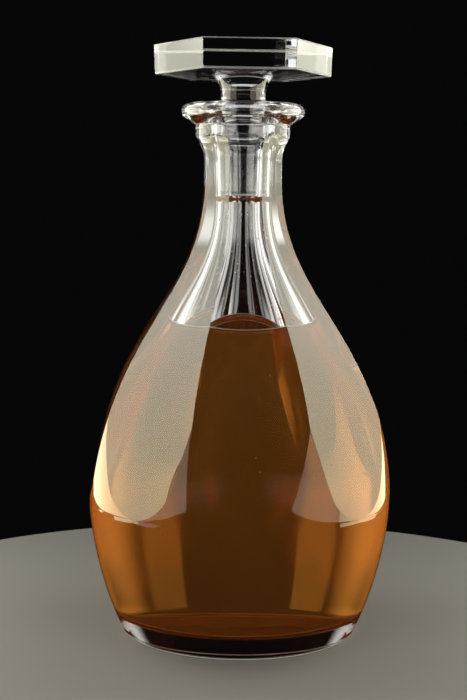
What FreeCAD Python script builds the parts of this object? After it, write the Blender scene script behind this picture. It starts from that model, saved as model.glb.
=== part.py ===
import FreeCAD, Part
import math
import os
from Sketcher import Constraint

# A cut-glass decanter: a turned glass vessel with eight flat flutes cut up its shoulder and
# neck, a glass stopper with a hexagonal head, and the brown drink that part fills the vessel.
# Millimetres. The vessel stands on z = 0 with its axis on +Z, and one flute faces -Y.

SHEET = "Sizes"
UP = FreeCAD.Vector(0, 0, 1)

SIZES = {
    # vessel, outside
    "vessel_height": (225.7, "height of the lip's flat top above the table"),
    "base_radius": (49.8, "flat foot that the vessel stands on"),
    "heel_radius": (1.8, "rounding between the foot and the side"),
    "belly_radius": (65.0, "widest radius of the vessel"),
    "belly_height": (60.0, "height of the widest place"),
    "lip_depth": (8.7, "from the lip's top down to where its underside leaves the ring"),
    "lip_edge_radius": (3.1, "half-round edge of the lip"),
    "lip_width": (13.8, "from the mouth to the lip's outer edge"),
    "collar_length": (11.0, "uncut ring under the lip, down to where the flutes cut into it"),
    "collar_step": (3.95, "how far the ring stands out past the neck's flutes"),
    # flutes
    "flute_depth": (2.3, "how far a flute lies inside the belly where its run-out ends"),
    "flute_waist_rise": (8.0, "height of that place above the belly's widest place"),
    "flute_start_depth": (5.0, "how far below the widest place a flute's run-out starts"),
    "flute_start_spare": (1.3, "how far outside the blank the cutter starts"),
    "runout_rise": (4.5, "height of the handle next to the run-out's start"),
    "neck_wall": (7.05, "glass between the socket and a flute on the neck"),
    "neck_length": (7.0, "straight part of a flute on the neck"),
    "flute_end_radius": (16.0, "radius of the wheel's mark at the top of a flute"),
    "flute_end_spare": (1.0, "how far that mark stops short of a quarter turn"),
    # vessel, inside
    "floor_thickness": (10.0, "thickness of the glass foot"),
    "floor_margin": (8.8, "from the foot's edge in to the flat part of the inner floor"),
    "corner_rise": (7.5, "height of the floor's rounded corner"),
    "belly_wall": (6.4, "glass at the widest place, before the flutes"),
    "bore_step": (0.3, "how much narrower the bore is than the plug's end"),
    "bore_length": (5.5, "straight bore under the socket"),
    "mouth_gap": (0.9, "clear space around the stem in the mouth"),
    "mouth_flare": (2.1, "how far the mouth opens out at the lip"),
    # stopper
    "plug_radius": (8.3, "radius of the ground plug at its end"),
    "plug_widening": (0.7, "how much wider the ground plug is at its top"),
    "plug_length": (18.0, "length of the ground plug"),
    "plug_bevel": (0.8, "bevel around the plug's end"),
    "plug_depth": (20.7, "from the lip's top down to the top of the ground plug"),
    "stem_step": (0.4, "how much wider the stem is than the ground plug"),
    "stem_depth": (3.7, "from the lip's top down to where the clear plug has widened to the stem"),
    "stem_rise": (3.8, "height above the lip where the stem starts to flare"),
    "flare_rise": (8.1, "height of the flare, up to the head"),
    "flare_reach": (3.4, "how far the flare opens out past the stem"),
    "head_thickness": (12.4, "thickness of the hexagonal head"),
    "head_corner_radius": (37.3, "corner radius of the head at its underside"),
    "head_draft": (2.0, "degrees that the head's sides lean out"),
    "head_bevel": (0.5, "bevel on all the head's edges"),
    # fits
    "socket_clearance": (0.06, "between the ground plug and its socket"),
    "socket_depth_spare": (1.5, "socket below the plug's end"),
    "drink_height": (128.0, "level of the drink above the table"),
    "drink_clearance": (0.15, "between the drink and the glass"),
    # how full each curve is: where its handles stand, as shares of the curve's own run
    "heel_out": (0.5, "handle above the foot, share of the way out to the belly"),
    "heel_up": (0.22, "the same handle, share of the way up to the belly"),
    "belly_down": (0.3333, "handle below the belly, share of the belly's height"),
    "belly_up": (0.5205, "handle above the belly, share of the way up to the ring"),
    "collar_down": (0.411, "handle below the ring, share of the same way"),
    "waist_in": (0.2114, "handle above a flute's waist, share of the way in to the neck"),
    "waist_up": (0.5354, "the same handle, share of the way up to the neck"),
    "waist_down": (0.0515, "handle below the waist, share of the handle above it"),
    "neck_down": (0.4016, "handle below the neck, share of the way down to the waist"),
    "floor_out": (0.756, "handle on the floor, share of the corner's width"),
    "corner_width": (0.489, "corner's width, share of the way from the floor's edge to the belly"),
    "corner_out": (0.48, "handle above the corner, share of the rest of the way out"),
    "corner_up": (0.276, "the same handle, share of the way up to the inner belly"),
    "corner_down": (0.542, "handle below the corner, share of the handle above it"),
    "inner_belly_down": (0.322, "handle below the inner belly, share of the way down to the corner"),
    "inner_belly_up": (0.507, "handle above the inner belly, share of the way up to the throat"),
    "throat_width": (0.336, "throat's radius, share of the way from the bore to the inner belly"),
    "throat_up": (0.4104, "throat's height, share of the way from the belly to the lip"),
    "throat_handle_in": (0.4235, "handle above the throat, share of the way in to the bore"),
    "throat_handle_up": (0.346, "the same handle, share of the way up to the bore"),
    "throat_handle_down": (1.222, "handle below the throat, share of the handle above it"),
    "bore_down": (0.423, "handle below the bore, share of the way down to the throat"),
    "mouth_up": (0.169, "handle above the socket, share of the way up to the lip"),
    "mouth_down": (0.338, "handle below the lip, share of the same way"),
    "flare_up": (0.407, "handle above the stem, share of the flare's height"),
    "flare_down": (0.559, "reach of the handle in and down from the flare's edge, share of its reach"),
}

FLUTE_COUNT = 8
HEAD_SIDES = 6
CUTTER_REACH = 1.5  # a cutter's size as a share of what it cuts, to reach past it
EMBED = 0.5  # share of the head's thickness that the stem reaches into, so that they join


class Length:
    """A number and the sheet formula that gives it, so that both stay in step."""

    def __init__(self, number, formula):
        self.number = number
        self.formula = formula

    def __add__(self, other):
        return Length(self.number + other.number, "(%s + %s)" % (self.formula, other.formula))

    def __sub__(self, other):
        return Length(self.number - other.number, "(%s - %s)" % (self.formula, other.formula))

    def __mul__(self, other):
        return Length(self.number * other.number, "(%s * %s)" % (self.formula, other.formula))


NOTHING = Length(0.0, "0")


def plain(number):
    """A plain number as a length."""
    return Length(number, str(number))


def size(name):
    """The named size as a number with its formula."""
    return Length(SIZES[name][0], "%s.%s" % (SHEET, name))


def between(start, end, share):
    """The place that lies a named share of the way from one length to another."""
    return start + (end - start) * size(share)


# Heights that follow from the lip's, and radii that follow from the plug's and the belly's

LIP_TOP = size("vessel_height")
COLLAR_TOP = LIP_TOP - size("lip_depth")
COLLAR_FOOT = COLLAR_TOP - size("collar_length")
FLUTE_END_FOOT = COLLAR_TOP - size("flute_end_radius") + size("flute_end_spare")
NECK_FOOT = FLUTE_END_FOOT - size("neck_length")
PLUG_TOP = LIP_TOP - size("plug_depth")
PLUG_FOOT = PLUG_TOP - size("plug_length")
SOCKET_FOOT = PLUG_FOOT - size("socket_depth_spare")
BORE_FOOT = SOCKET_FOOT - size("bore_length")
STEM_FOOT = LIP_TOP - size("stem_depth")
STEM_TOP = LIP_TOP + size("stem_rise")
HEAD_FOOT = STEM_TOP + size("flare_rise")

PLUG_TOP_RADIUS = size("plug_radius") + size("plug_widening")
STEM_RADIUS = PLUG_TOP_RADIUS + size("stem_step")
MOUTH_WAIST_RADIUS = STEM_RADIUS + size("mouth_gap")
MOUTH_RADIUS = MOUTH_WAIST_RADIUS + size("mouth_flare")
LIP_RADIUS = MOUTH_RADIUS + size("lip_width")
NECK_RADIUS = PLUG_TOP_RADIUS + size("neck_wall")
COLLAR_RADIUS = NECK_RADIUS + size("collar_step")
INNER_BELLY_RADIUS = size("belly_radius") - size("belly_wall")
BORE_RADIUS = size("plug_radius") - size("bore_step")


def make_sheet(doc):
    """Write every named size and its note to the spreadsheet."""
    sheet = doc.addObject("Spreadsheet::Sheet", SHEET)
    for row, (name, (value, note)) in enumerate(SIZES.items(), start=1):
        sheet.set("A%d" % row, name)
        sheet.set("B%d" % row, str(value))
        sheet.set("C%d" % row, note)
        sheet.setAlias("B%d" % row, name)
    doc.recompute()


def plane(body, role):
    """The body's own origin plane with this role."""
    return [item for item in body.Origin.OriginFeatures if item.Role == role][0]


def new_sketch(body, name, role):
    """An empty sketch on one of the body's origin planes."""
    sketch = body.newObject("Sketcher::SketchObject", name)
    sketch.AttachmentSupport = [(plane(body, role), "")]
    sketch.MapMode = "FlatFace"
    return sketch


def bind(sketch, kind, places, length):
    """Add a constraint whose value follows a formula."""
    index = sketch.addConstraint(Constraint(kind, *places, length.number))
    sketch.setExpression("Constraints[%d]" % index, length.formula)


class Outline:
    """A closed half section in the XZ plane, drawn edge by edge as (radius, height) points."""

    START, END, CENTRE = 1, 2, 3
    HEIGHT_AXIS, RADIUS_AXIS, ORIGIN = -2, -1, (-1, 1)

    def __init__(self, body, name, first):
        self.sketch = new_sketch(body, name, "XZ_Plane")
        self.first = first
        self.last = first
        self.first_vertex = None
        self.last_vertex = None

    def add(self, geometry, start, end, point):
        """Add an edge, join its start vertex to the edge before it, and remember its end."""
        index = self.sketch.addGeometry(geometry, False)
        if self.last_vertex is None:
            self.first_vertex = (index, start)
            self.place(index, start, self.first)
        else:
            self.sketch.addConstraint(Constraint("Coincident", *self.last_vertex, index, start))
        self.last_vertex = (index, end)
        self.last = point
        return index

    def place(self, index, vertex, point):
        """Hold a vertex at its radius and height."""
        radius, height = point
        if radius is NOTHING:
            self.sketch.addConstraint(Constraint("PointOnObject", index, vertex, self.HEIGHT_AXIS))
        else:
            bind(self.sketch, "DistanceX", (*self.ORIGIN, index, vertex), radius)
        if height is NOTHING:
            self.sketch.addConstraint(Constraint("PointOnObject", index, vertex, self.RADIUS_AXIS))
        else:
            bind(self.sketch, "DistanceY", (*self.ORIGIN, index, vertex), height)

    def line(self, point):
        """A straight edge to a point."""
        segment = Part.LineSegment(vector(self.last), vector(point))
        index = self.add(segment, self.START, self.END, point)
        self.place(index, self.END, point)

    def curve(self, first_handle, last_handle, point):
        """A smooth edge to a point, shaped by two handles."""
        poles = [vector(place) for place in (self.last, first_handle, last_handle, point)]
        spline = Part.BSplineCurve(poles, [4, 4], [0, 1], False, 3)
        index = self.add(spline, self.START, self.END, point)
        self.sketch.exposeInternalGeometry(index)
        first_pole = index + 1
        self.place(first_pole + 1, self.CENTRE, first_handle)
        self.place(first_pole + 2, self.CENTRE, last_handle)
        self.place(index, self.END, point)

    def turn_out(self, radius, height):
        """An arc from the upright last edge away from the axis, up to a height."""
        foot = self.last
        centre = (foot[0] + radius, foot[1])
        end = math.pi - math.asin((height - foot[1]).number / radius.number)
        circle = Part.Circle(vector(centre), UP, radius.number)
        top = (plain(centre[0].number + radius.number * math.cos(end)), height)
        index = self.add(Part.ArcOfCircle(circle, end, math.pi), self.END, self.START, top)
        self.place(index, self.CENTRE, centre)
        bind(self.sketch, "DistanceY", (*self.ORIGIN, index, self.START), height)

    def cone_to_round_edge(self, centre, radius):
        """A straight underside that runs into a half-round edge, up to the flat on its top."""
        across = (centre[0] - self.last[0]).number
        rise = (centre[1] - self.last[1]).number
        lean = math.atan2(rise, across) - math.asin(radius.number / math.hypot(across, rise))
        start = lean - math.pi / 2
        touch = (plain(centre[0].number + radius.number * math.cos(start)),
                 plain(centre[1].number + radius.number * math.sin(start)))
        cone = self.add(Part.LineSegment(vector(self.last), vector(touch)), self.START, self.END, touch)
        circle = Part.Circle(vector(centre), UP, radius.number)
        edge = self.sketch.addGeometry(Part.ArcOfCircle(circle, start, math.pi / 2), False)
        self.sketch.addConstraint(Constraint("Tangent", cone, self.END, edge, self.START))
        self.place(edge, self.CENTRE, centre)
        self.last_vertex = (edge, self.END)
        self.last = (centre[0], centre[1] + radius)
        self.place(edge, self.END, self.last)

    def close(self):
        """A straight edge back to the first point."""
        segment = Part.LineSegment(vector(self.last), vector(self.first))
        index = self.add(segment, self.START, self.END, self.first)
        self.sketch.addConstraint(Constraint("Coincident", index, self.END, *self.first_vertex))
        return self.sketch


def vector(point):
    """A (radius, height) point as a vector in its sketch."""
    return FreeCAD.Vector(point[0].number, point[1].number, 0)


def turn(body, kind, name, sketch):
    """Turn an outline a full circle about the Z axis, to add material or to take it away."""
    feature = body.newObject(kind, name)
    feature.Profile = sketch
    feature.ReferenceAxis = (sketch, ["V_Axis"])
    feature.Angle = 360
    return feature


# The vessel


def blank_outline(body):
    """The vessel's outside before its flutes are cut."""
    base = size("base_radius")
    belly = (size("belly_radius"), size("belly_height"))
    edge_radius = size("lip_edge_radius")
    outline = Outline(body, "BlankOutline", (NOTHING, NOTHING))
    outline.line((base, NOTHING))
    outline.curve(
        (between(base, belly[0], "heel_out"), belly[1] * size("heel_up")),
        (belly[0], belly[1] - belly[1] * size("belly_down")),
        belly)
    outline.curve(
        (belly[0], between(belly[1], COLLAR_FOOT, "belly_up")),
        (COLLAR_RADIUS, between(COLLAR_FOOT, belly[1], "collar_down")),
        (COLLAR_RADIUS, COLLAR_FOOT))
    outline.line((COLLAR_RADIUS, COLLAR_TOP))
    outline.cone_to_round_edge((LIP_RADIUS - edge_radius, LIP_TOP - edge_radius), edge_radius)
    outline.line((NOTHING, LIP_TOP))
    return outline.close()


def flute_outline(body):
    """What one flute's cutter takes away, seen from the side."""
    belly = (size("belly_radius"), size("belly_height"))
    reach = belly[0] * plain(CUTTER_REACH)
    start = (belly[0] + size("flute_start_spare"), belly[1] - size("flute_start_depth"))
    waist = (belly[0] - size("flute_depth"), belly[1] + size("flute_waist_rise"))
    lean = ((waist[0] - NECK_RADIUS) * size("waist_in"), (NECK_FOOT - waist[1]) * size("waist_up"))
    outline = Outline(body, "FluteOutline", start)
    outline.curve(
        (belly[0], start[1] + size("runout_rise")),
        (waist[0] + lean[0] * size("waist_down"), waist[1] - lean[1] * size("waist_down")),
        waist)
    outline.curve(
        (waist[0] - lean[0], waist[1] + lean[1]),
        (NECK_RADIUS, between(NECK_FOOT, waist[1], "neck_down")),
        (NECK_RADIUS, NECK_FOOT))
    outline.line((NECK_RADIUS, FLUTE_END_FOOT))
    outline.turn_out(size("flute_end_radius"), COLLAR_TOP)
    outline.line((reach, COLLAR_TOP))
    outline.line((reach, start[1]))
    return outline.close()


def hollow_walls(outline, clearance):
    """The hollow's floor, rounded corner, belly, shoulder and throat, up to the foot of its bore."""
    floor = (size("base_radius") - size("floor_margin") - clearance, size("floor_thickness") + clearance)
    belly = (INNER_BELLY_RADIUS - clearance, size("belly_height"))
    corner = (between(floor[0], belly[0], "corner_width"), size("floor_thickness") + size("corner_rise"))
    bore = (BORE_RADIUS - clearance, BORE_FOOT)
    throat = (between(bore[0], belly[0], "throat_width"), between(belly[1], LIP_TOP, "throat_up"))
    corner_lean = ((belly[0] - corner[0]) * size("corner_out"), (belly[1] - corner[1]) * size("corner_up"))
    throat_lean = (
        (throat[0] - bore[0]) * size("throat_handle_in"),
        (bore[1] - throat[1]) * size("throat_handle_up"))
    corner_down = size("corner_down")
    throat_down = size("throat_handle_down")
    outline.line(floor)
    outline.curve(
        (between(floor[0], corner[0], "floor_out"), floor[1]),
        (corner[0] - corner_lean[0] * corner_down, corner[1] - corner_lean[1] * corner_down),
        corner)
    outline.curve(
        (corner[0] + corner_lean[0], corner[1] + corner_lean[1]),
        (belly[0], between(belly[1], corner[1], "inner_belly_down")),
        belly)
    outline.curve(
        (belly[0], between(belly[1], throat[1], "inner_belly_up")),
        (throat[0] + throat_lean[0] * throat_down, throat[1] - throat_lean[1] * throat_down),
        throat)
    outline.curve(
        (throat[0] - throat_lean[0], throat[1] + throat_lean[1]),
        (bore[0], between(bore[1], throat[1], "bore_down")),
        bore)


def hollow_outline(body):
    """The whole hollow: the drink's space, the bore, the ground socket and the mouth."""
    clearance = size("socket_clearance")
    socket_radius = size("plug_radius") + clearance
    socket_top = (PLUG_TOP_RADIUS + clearance, PLUG_TOP)
    outline = Outline(body, "HollowOutline", (NOTHING, size("floor_thickness")))
    hollow_walls(outline, NOTHING)
    outline.line((BORE_RADIUS, SOCKET_FOOT))
    outline.line((socket_radius, SOCKET_FOOT))
    outline.line((socket_radius, PLUG_FOOT + size("plug_bevel")))
    outline.line(socket_top)
    outline.curve(
        (MOUTH_WAIST_RADIUS, between(PLUG_TOP, LIP_TOP, "mouth_up")),
        (MOUTH_WAIST_RADIUS, between(LIP_TOP, PLUG_TOP, "mouth_down")),
        (MOUTH_RADIUS, LIP_TOP))
    outline.line((NOTHING, LIP_TOP))
    return outline.close()


def round_heel(body, blank):
    """Round the edge of the foot that the vessel stands on."""
    heel = body.newObject("PartDesign::Fillet", "Heel")
    heel.Base = (blank, [lowest_edge(blank.Shape)])
    heel.setExpression("Radius", size("heel_radius").formula)
    return heel


def lowest_edge(shape):
    """The name of the shape's lowest edge that isn't the seam of a face."""
    heights = [edge.BoundBox.ZMax for edge in shape.Edges]
    return "Edge%d" % (heights.index(min(heights)) + 1)


def cut_flutes(body):
    """Cut one flute right across the blank and repeat it round the axis."""
    flute = body.newObject("PartDesign::Pocket", "Flute")
    flute.Profile = flute_outline(body)
    flute.SideType = "Symmetric"
    flute.setExpression("Length", (size("belly_radius") * plain(2 * CUTTER_REACH)).formula)
    ring = body.newObject("PartDesign::PolarPattern", "Flutes")
    ring.Originals = [flute]
    ring.Axis = (flute.Profile[0], ["V_Axis"])
    ring.Angle = 360
    ring.Occurrences = FLUTE_COUNT
    body.Tip = ring
    return flute, ring


def make_vessel(doc):
    """The glass vessel: a turned blank, its flutes, and its hollow."""
    body = doc.addObject("PartDesign::Body", "decanter")
    blank = turn(body, "PartDesign::Revolution", "Blank", blank_outline(body))
    doc.recompute()
    heel = round_heel(body, blank)
    flute, ring = cut_flutes(body)
    hollow = turn(body, "PartDesign::Groove", "Hollow", hollow_outline(body))
    doc.recompute()
    stages = [blank, heel, flute, ring, hollow]
    check_cuts(stages)
    return body


def check_cuts(stages):
    """Stop if a cut took nothing away."""
    for before, after in zip(stages, stages[1:]):
        if after.Shape.Volume >= before.Shape.Volume:
            raise RuntimeError("%s cut nothing from %s" % (after.Name, before.Name))


# The drink


def make_drink(doc):
    """The drink fills the hollow up to its level, a hair inside the glass."""
    body = doc.addObject("PartDesign::Body", "drink")
    clearance = size("drink_clearance")
    outline = Outline(body, "DrinkOutline", (NOTHING, size("floor_thickness") + clearance))
    hollow_walls(outline, clearance)
    outline.line((NOTHING, BORE_FOOT))
    filled = turn(body, "PartDesign::Revolution", "Filled", outline.close())
    above = Outline(body, "AboveOutline", (NOTHING, size("drink_height")))
    above.line((size("belly_radius"), size("drink_height")))
    above.line((size("belly_radius"), LIP_TOP))
    above.line((NOTHING, LIP_TOP))
    level = turn(body, "PartDesign::Groove", "Level", above.close())
    doc.recompute()
    check_cuts([filled, level])
    return body


# The stopper


def hexagon(body):
    """The head's underside as a regular polygon with one flat towards -Y."""
    sketch = new_sketch(body, "HeadOutline", "XY_Plane")
    radius = size("head_corner_radius")
    sketch.setExpression("AttachmentOffset.Base.z", HEAD_FOOT.formula)
    circle = sketch.addGeometry(Part.Circle(FreeCAD.Vector(), UP, radius.number), True)
    sketch.addConstraint(Constraint("Coincident", circle, Outline.CENTRE, *Outline.ORIGIN))
    bind(sketch, "Radius", (circle,), radius)
    angles = [2 * math.pi * corner / HEAD_SIDES for corner in range(HEAD_SIDES)]
    corners = [FreeCAD.Vector(math.cos(angle), math.sin(angle), 0) * radius.number for angle in angles]
    sides = [
        sketch.addGeometry(Part.LineSegment(corners[side], corners[(side + 1) % HEAD_SIDES]), False)
        for side in range(HEAD_SIDES)]
    for side, following in zip(sides, sides[1:] + sides[:1]):
        sketch.addConstraint(Constraint("Coincident", side, Outline.END, following, Outline.START))
        sketch.addConstraint(Constraint("PointOnObject", side, Outline.START, circle))
    for side in sides[1:]:
        sketch.addConstraint(Constraint("Equal", sides[0], side))
    sketch.addConstraint(Constraint("PointOnObject", sides[0], Outline.START, Outline.RADIUS_AXIS))
    return sketch


def make_head(doc, body):
    """The hexagonal slab, leaning out a little towards its top, with all edges bevelled."""
    slab = body.newObject("PartDesign::Pad", "Slab")
    slab.Profile = hexagon(body)
    slab.setExpression("Length", size("head_thickness").formula)
    slab.setExpression("TaperAngle", size("head_draft").formula)
    doc.recompute()
    bevel = body.newObject("PartDesign::Chamfer", "Bevel")
    bevel.Base = (slab, ["Edge%d" % number for number in range(1, len(slab.Shape.Edges) + 1)])
    bevel.setExpression("Size", size("head_bevel").formula)
    doc.recompute()
    check_cuts([slab, bevel])
    return bevel


def stem_outline(body):
    """The ground plug, the clear stem and the flare that carries the head."""
    plug_radius = size("plug_radius")
    flare = (STEM_RADIUS + size("flare_reach"), HEAD_FOOT)
    handle = size("flare_reach") * size("flare_down")
    root = HEAD_FOOT + size("head_thickness") * plain(EMBED)
    outline = Outline(body, "StemOutline", (NOTHING, PLUG_FOOT))
    outline.line((plug_radius - size("plug_bevel"), PLUG_FOOT))
    outline.line((plug_radius, PLUG_FOOT + size("plug_bevel")))
    outline.line((PLUG_TOP_RADIUS, PLUG_TOP))
    outline.line((STEM_RADIUS, STEM_FOOT))
    outline.line((STEM_RADIUS, STEM_TOP))
    outline.curve(
        (STEM_RADIUS, between(STEM_TOP, HEAD_FOOT, "flare_up")),
        (flare[0] - handle, flare[1] - handle),
        flare)
    outline.line((flare[0], root))
    outline.line((NOTHING, root))
    return outline.close()


def make_stopper(doc):
    """The stopper, one piece of glass from its plug to its head."""
    body = doc.addObject("PartDesign::Body", "stopper")
    head = make_head(doc, body)
    stem = turn(body, "PartDesign::Revolution", "Stem", stem_outline(body))
    doc.recompute()
    if stem.Shape.Volume <= head.Shape.Volume:
        raise RuntimeError("the stem added nothing to the head")
    return body


# The model


def check_model(doc, bodies):
    """Stop if any object failed or any piece isn't one sound solid."""
    for item in doc.Objects:
        if "Invalid" in item.State or "Error" in item.State:
            raise RuntimeError("%s failed: %s" % (item.Name, item.State))
    for body in bodies:
        shape = body.Shape
        if shape.isNull() or not shape.isValid() or len(shape.Solids) != 1:
            raise RuntimeError("%s isn't one valid solid" % body.Label)


def export(bodies):
    """Write each piece to its own STEP file and print what it holds."""
    os.makedirs("parts", exist_ok=True)
    for body in bodies:
        body.Shape.exportStep("parts/%s.step" % body.Label)
        box = body.Shape.BoundBox
        print("%s: %.1f cm3, %.1f x %.1f x %.1f mm, from z %.2f" % (
            body.Label, body.Shape.Volume / 1000, box.XLength, box.YLength, box.ZLength, box.ZMin))


def main():
    """Build the decanter."""
    doc = FreeCAD.newDocument("Decanter")
    make_sheet(doc)
    bodies = [make_vessel(doc), make_drink(doc), make_stopper(doc)]
    check_model(doc, bodies)
    export(bodies)


main()
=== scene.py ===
import logging
import math
from dataclasses import dataclass, replace
from enum import Enum, IntEnum
from typing import Dict, List, Optional, Sequence, Tuple, Union

import bpy
import numpy as np
from mathutils import Matrix, Vector


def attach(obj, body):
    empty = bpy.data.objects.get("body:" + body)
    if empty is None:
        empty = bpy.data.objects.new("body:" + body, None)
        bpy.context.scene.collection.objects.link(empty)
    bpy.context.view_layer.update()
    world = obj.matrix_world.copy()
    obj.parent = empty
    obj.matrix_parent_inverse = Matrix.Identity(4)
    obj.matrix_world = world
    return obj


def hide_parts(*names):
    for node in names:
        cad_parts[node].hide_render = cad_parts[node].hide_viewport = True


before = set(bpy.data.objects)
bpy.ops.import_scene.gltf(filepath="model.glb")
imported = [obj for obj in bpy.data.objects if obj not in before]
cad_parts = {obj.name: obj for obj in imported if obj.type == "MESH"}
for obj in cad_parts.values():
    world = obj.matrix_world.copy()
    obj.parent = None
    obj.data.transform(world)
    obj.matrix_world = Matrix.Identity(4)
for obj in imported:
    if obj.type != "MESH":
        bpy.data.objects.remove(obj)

# A cut-glass decanter with its stopper and its drink. Its sizes are in millimetres until a mesh
# is made, and the studio's are in metres. The vessel stands on z = 0 with its axis on +Z, and one
# flute faces -Y.

MM = 0.001
# Where sectors meet, points closer than this are made one. It is in metres.
WELD_DISTANCE = 0.5e-6
LOG = logging.getLogger("decanter")

Point = Union[Tuple[float, float], np.ndarray]
Place = Tuple[float, float, float]
Colour = Tuple[float, float, float]


class Surface(IntEnum):
    """The finish of a face, kept on the mesh until its materials are set."""

    POLISHED = 0
    WETTED = 1
    GROUND = 2
    SAWN = 3
    FILM = 4
    WORN = 5
    OPEN = 6


class Pattern(Enum):
    """The noise that a finish's relief is made from: its name, its stretch and its detail."""

    WAVES = ("waves", (1.0, 1.0, 0.45), 1.0)
    GRINDING = ("grinding", (1.0, 1.0, 5.0), 6.0)

    def __init__(self, label: str, stretch: Place, detail: float) -> None:
        """Hold what the noise is made from.

        Args:
            label: the pattern's name.
            stretch: how much closer together the noise is along each axis.
            detail: how many finer layers the noise has.
        """
        self.label = label
        self.stretch = stretch
        self.detail = detail


Finishes = Dict[Surface, bpy.types.Material]


# Curves


def bezier(start: Point, first: Point, last: Point, end: Point, steps: int) -> np.ndarray:
    """Points along a cubic curve.

    Args:
        start: the curve's first (radius, height) point.
        first: the handle next to it.
        last: the handle next to the end.
        end: the curve's last point.
        steps: how many stretches the curve is divided into.

    Returns:
        The points, one row each, both ends included.
    """
    t = np.linspace(0.0, 1.0, steps + 1)[:, None]
    poles = [np.asarray(pole, float) for pole in (start, first, last, end)]
    weights = ((1 - t) ** 3, 3 * t * (1 - t) ** 2, 3 * t ** 2 * (1 - t), t ** 3)
    return sum(weight * pole for weight, pole in zip(weights, poles))


def arc(centre: Point, radius: float, start: float, end: float, steps: int) -> np.ndarray:
    """Points along an arc, with its angles in degrees from the +radius direction."""
    angles = np.radians(np.linspace(start, end, steps + 1))
    return np.asarray(centre) + radius * np.column_stack((np.cos(angles), np.sin(angles)))


def straight(start: Point, end: Point, steps: int) -> np.ndarray:
    """Points along a straight line, both ends included."""
    t = np.linspace(0.0, 1.0, steps + 1)[:, None]
    return np.asarray(start, float) * (1 - t) + np.asarray(end, float) * t


def between(start: float, end: float, share: float) -> float:
    """The place that lies a share of the way from start to end."""
    return start + (end - start) * share


def soft_min(first: np.ndarray, second: np.ndarray, blend: float) -> np.ndarray:
    """The smaller of two radii, rounded where they cross.

    Args:
        first: radii in millimetres.
        second: radii in millimetres.
        blend: how far apart the two may be and still be rounded.

    Returns:
        The rounded smaller radii.
    """
    share = np.clip(0.5 + 0.5 * (second - first) / blend, 0.0, 1.0)
    return second * (1 - share) + first * share - blend * share * (1 - share)


# Sectors: a turned shape is made as one sector, and Geometry Nodes repeat it round the axis


@dataclass
class Ring:
    """One level of a sector: its height, its radius at each column, and its columns' angles.

    Its surface is the finish of the faces between it and the next ring.
    """

    height: float
    radii: np.ndarray
    angles: np.ndarray
    surface: Surface = Surface.POLISHED


def sector_mesh(name: str, rings: Sequence[Ring]) -> bpy.types.Mesh:
    """Join rings into a strip of faces that point away from the glass.

    Args:
        name: the mesh's name.
        rings: levels in order, from the middle of the underside round to the last one.

    Returns:
        A mesh with a face attribute named surface.
    """
    columns = len(rings[0].angles)
    points = np.concatenate([
        np.column_stack((
            ring.radii * np.cos(ring.angles),
            ring.radii * np.sin(ring.angles),
            np.full(columns, ring.height)))
        for ring in rings]) * MM
    low = np.arange(len(rings) - 1)[:, None] * columns + np.arange(columns - 1)[None, :]
    faces = np.stack((low, low + 1, low + columns + 1, low + columns), axis=-1).reshape(-1, 4)
    mesh = bpy.data.meshes.new(name)
    mesh.from_pydata(points.tolist(), [], faces.tolist())
    kinds = np.repeat([int(ring.surface) for ring in rings[:-1]], columns - 1)
    mesh.attributes.new("surface", "INT", "FACE").data.foreach_set("value", kinds.astype(np.int32))
    return mesh


def turned_rings(points: np.ndarray, angles: np.ndarray, surface: Surface) -> List[Ring]:
    """Rings of a plain turned shape through the given (radius, height) points."""
    return [Ring(height, np.full(len(angles), radius), angles, surface) for radius, height in points]


class NodeTree:
    """A small helper that adds nodes to a tree and links them."""

    def __init__(self, tree: bpy.types.NodeTree) -> None:
        """Hold the tree."""
        self.tree = tree

    def add(self, kind: str, inputs: Optional[Dict] = None, **settings: object) -> bpy.types.Node:
        """Add a node, set its properties, and set or link its inputs.

        Args:
            kind: the node's type name.
            inputs: a value or an output socket for each input, by name or place.
            settings: properties of the node.

        Returns:
            The node.
        """
        node = self.tree.nodes.new(kind)
        for key, value in settings.items():
            setattr(node, key, value)
        for key, value in (inputs or {}).items():
            if isinstance(value, bpy.types.NodeSocket):
                self.tree.links.new(value, node.inputs[key])
            else:
                node.inputs[key].default_value = value
        return node

    def link(self, source: bpy.types.NodeSocket, target: bpy.types.NodeSocket) -> None:
        """Link two sockets."""
        self.tree.links.new(source, target)


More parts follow.
